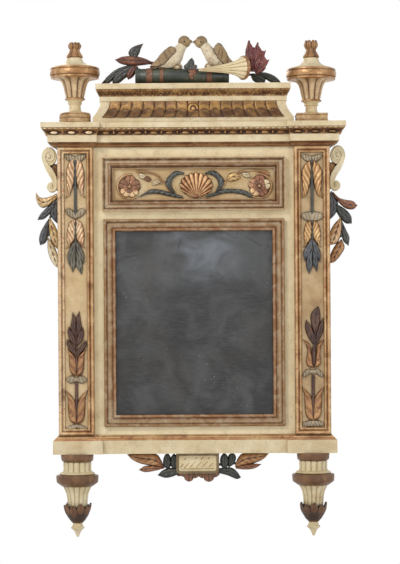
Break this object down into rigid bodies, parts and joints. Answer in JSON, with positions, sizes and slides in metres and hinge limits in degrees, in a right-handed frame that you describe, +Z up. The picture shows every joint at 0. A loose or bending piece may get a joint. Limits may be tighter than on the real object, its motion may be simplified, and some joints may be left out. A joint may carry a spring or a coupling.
{
  "type": "wall mirror",
  "caption": "Rectangular mirror plate in an ivory painted and gilded neoclassical wall case with pilasters, carved frieze, crested attic, urn finials and turned drops.",
  "frame": {"origin": "middle of the hanging rail's back face, which lies on the wall, level with the pins of the two hanging rings", "axes": "+Z up, +Y into the wall, so the mirror faces -Y, and +X to the right of someone who looks at the mirror"},
  "size_m": [0.9706, 0.1465, 1.4832],
  "materials": {
    "ivory": "aged ivory distemper on carved wood, with fine cracks",
    "gilding": "worn water gilding over red bole",
    "silver_gilt": "tarnished silver leaf on carved wood",
    "dark_green": "dark green paint, worn",
    "red_brown": "red-brown paint over bole, worn",
    "flame_red": "dark red paint, worn",
    "dove_paint": "beige and cream paint",
    "bare_wood": "old bare poplar",
    "iron": "forged iron, rusty",
    "mirror_plate": "old foxed silvering behind glass"
  },
  "bodies": {
    "case": {"case_side_left": "ivory", "case_side_right": "ivory", "stile_left": "ivory", "stile_right": "ivory", "frieze_board": "ivory", "bottom_rail": "ivory", "hanging_rail": "bare_wood", "back_boards": "bare_wood", "board_nails": "iron", "plate_wedges": "bare_wood", "mirror_glass": "mirror_plate", "glass_frame": "gilding", "frieze_frame": "silver_gilt", "frieze_shell": "gilding", "frieze_scroll_left": "gilding", "frieze_scroll_right": "gilding", "pilaster_left": "ivory", "pilaster_right": "ivory", "pilaster_moulding_left": "gilding", "pilaster_moulding_right": "gilding", "husk_drop_left": "gilding", "husk_drop_right": "gilding", "tulip_spray_left": "red_brown", "tulip_spray_right": "red_brown", "cornice_top_board": "ivory", "cornice_carved_band": "gilding", "cornice_fascia": "ivory", "cornice_low_moulding": "gilding", "attic_plinth": "ivory", "attic_cove": "ivory", "attic_leaf_band": "gilding", "attic_carved_band": "gilding", "attic_cap": "ivory", "urn_left": "gilding", "urn_right": "gilding", "urn_bud_left": "gilding", "urn_bud_right": "gilding", "dove_left": "dove_paint", "dove_right": "dove_paint", "quiver": "dark_green", "torch": "ivory", "torch_flame": "flame_red", "laurel_sprays": "dark_green", "ribbon_knot": "silver_gilt", "side_scroll_left": "ivory", "side_scroll_right": "ivory", "side_leaves_left": "dark_green", "side_leaves_right": "dark_green", "base_moulding": "gilding", "plinth": "ivory", "drop_left": "ivory", "drop_right": "ivory", "drop_calyx_left": "red_brown", "drop_calyx_right": "red_brown", "pendant_tablet": "silver_gilt", "pendant_leaves": "dark_green", "hanger_plates": "iron", "hanger_nails": "iron"},
    "ring_left": {"hanger_ring_left": "iron"},
    "ring_right": {"hanger_ring_right": "iron"}
  },
  "joints": [
    {"name": "ring_left_swing", "type": "hinge", "parent": "case", "child": "ring_left", "pos_m": [-0.25, -0.0085, 0], "axis": [1, 0, 0], "range_deg": [-5, 120]},
    {"name": "ring_right_swing", "type": "hinge", "parent": "case", "child": "ring_right", "pos_m": [0.25, -0.0085, 0], "axis": [1, 0, 0], "range_deg": [-5, 120]}
  ]
}
